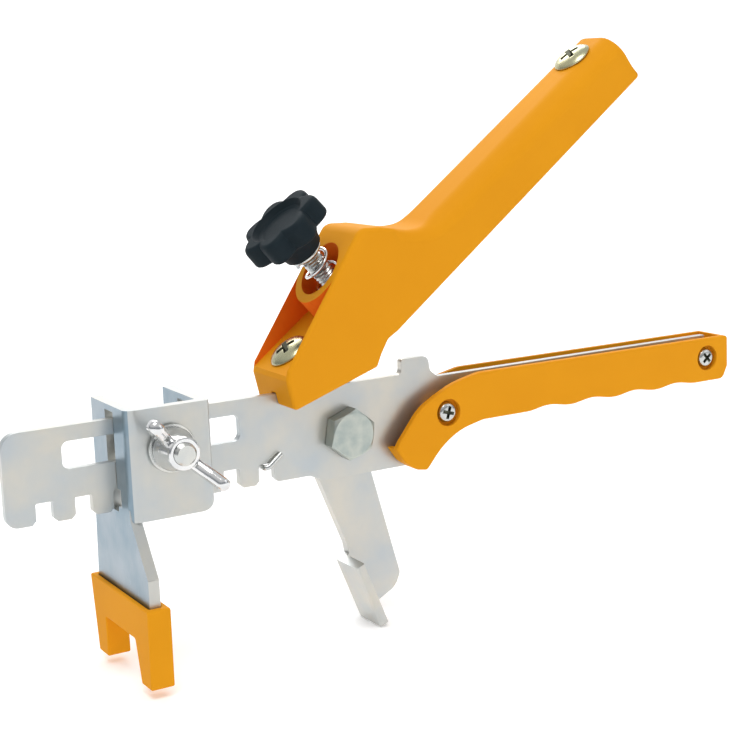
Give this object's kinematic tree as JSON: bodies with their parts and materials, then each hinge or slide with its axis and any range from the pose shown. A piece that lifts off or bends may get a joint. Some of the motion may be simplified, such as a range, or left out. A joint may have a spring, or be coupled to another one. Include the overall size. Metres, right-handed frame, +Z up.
{
  "type": "tile levelling pliers",
  "caption": "Hand pliers that push a wedge into a tile levelling clip: a notched plate with an adjustable fork, and a sprung lever with a stroke knob.",
  "frame": {"origin": "centre of the tool's bounding box at rest, with the lever open and the bracket as drawn", "axes": "+X along the notched plate from its free end towards the grips, +Y from the wing nut's side to the pivot nut's side, +Z up from the fork towards the upper grip"},
  "size_m": [0.3132, 0.0618, 0.2166],
  "materials": {
    "zinc_steel": "zinc plated sheet, fine grain",
    "yellow_zinc_steel": "yellow passivated zinc",
    "bright_chrome": "bright nickel plate on a cast nut",
    "bush_brass": "turned",
    "black_plastic": "moulded, fine matt",
    "orange_plastic": "moulded, satin"
  },
  "bodies": {
    "frame": {"main_plate": "zinc_steel", "lower_grip_front": "orange_plastic", "lower_grip_back": "orange_plastic", "grip_screw_1": "zinc_steel", "grip_screw_2": "zinc_steel", "grip_nut_1": "zinc_steel", "grip_nut_2": "zinc_steel", "pivot_bolt": "zinc_steel", "pivot_bush": "bush_brass", "pivot_washer": "zinc_steel", "pivot_nut": "zinc_steel", "return_spring": "zinc_steel"},
    "lever": {"lever_plate": "zinc_steel", "upper_handle": "orange_plastic", "nose_screw": "yellow_zinc_steel", "nose_nut": "zinc_steel", "end_screw": "yellow_zinc_steel", "end_nut": "zinc_steel", "stud_nut": "zinc_steel", "knob_spring": "zinc_steel"},
    "knob_carriage": {"knob_washer": "zinc_steel"},
    "knob": {"star_knob": "black_plastic", "knob_stud": "zinc_steel"},
    "bracket_group": {"bracket": "zinc_steel", "fork_shoe": "orange_plastic", "clamp_bolt": "zinc_steel", "clamp_washer": "zinc_steel", "clamp_sleeve": "zinc_steel"},
    "wing_carriage": {"wing_washer": "zinc_steel"},
    "wing": {"wing_nut": "bright_chrome"}
  },
  "joints": [
    {"name": "lever_pivot", "type": "hinge", "parent": "frame", "child": "lever", "pos_m": [-0.0254, 0.00115, -0.03388], "axis": [0, 1, 0], "range_deg": [0, 24], "stiffness_Nm_per_rad": 1.5, "springref_deg": -45.84, "deforming": ["return_spring"]},
    {"name": "knob_travel", "type": "slide", "parent": "lever", "child": "knob_carriage", "axis": [-0.6561, 0, 0.7547], "range_m": [0, 0.0075], "deforming": ["knob_spring"]},
    {"name": "knob_turn", "type": "hinge", "parent": "knob_carriage", "child": "knob", "pos_m": [-0.0326, 0.00265, 0.0287], "axis": [-0.6561, 0, 0.7547], "range_deg": [0, 2160]},
    {"name": "bracket_shift", "type": "slide", "parent": "frame", "child": "bracket_group", "axis": [1, 0, 0], "range_m": [-0.028, 0.014]},
    {"name": "wing_travel", "type": "slide", "parent": "bracket_group", "child": "wing_carriage", "axis": [0, -1, 0], "range_m": [0, 0.0025]},
    {"name": "wing_turn", "type": "hinge", "parent": "wing_carriage", "child": "wing", "pos_m": [-0.101, -0.01135, -0.02559], "axis": [0, -1, 0], "range_deg": [0, 720]}
  ],
  "couplings": [
    {"joint": "knob_turn", "follows": "knob_travel", "rad_per_m": 5026.5},
    {"joint": "wing_turn", "follows": "wing_travel", "rad_per_m": 5026.5}
  ]
}
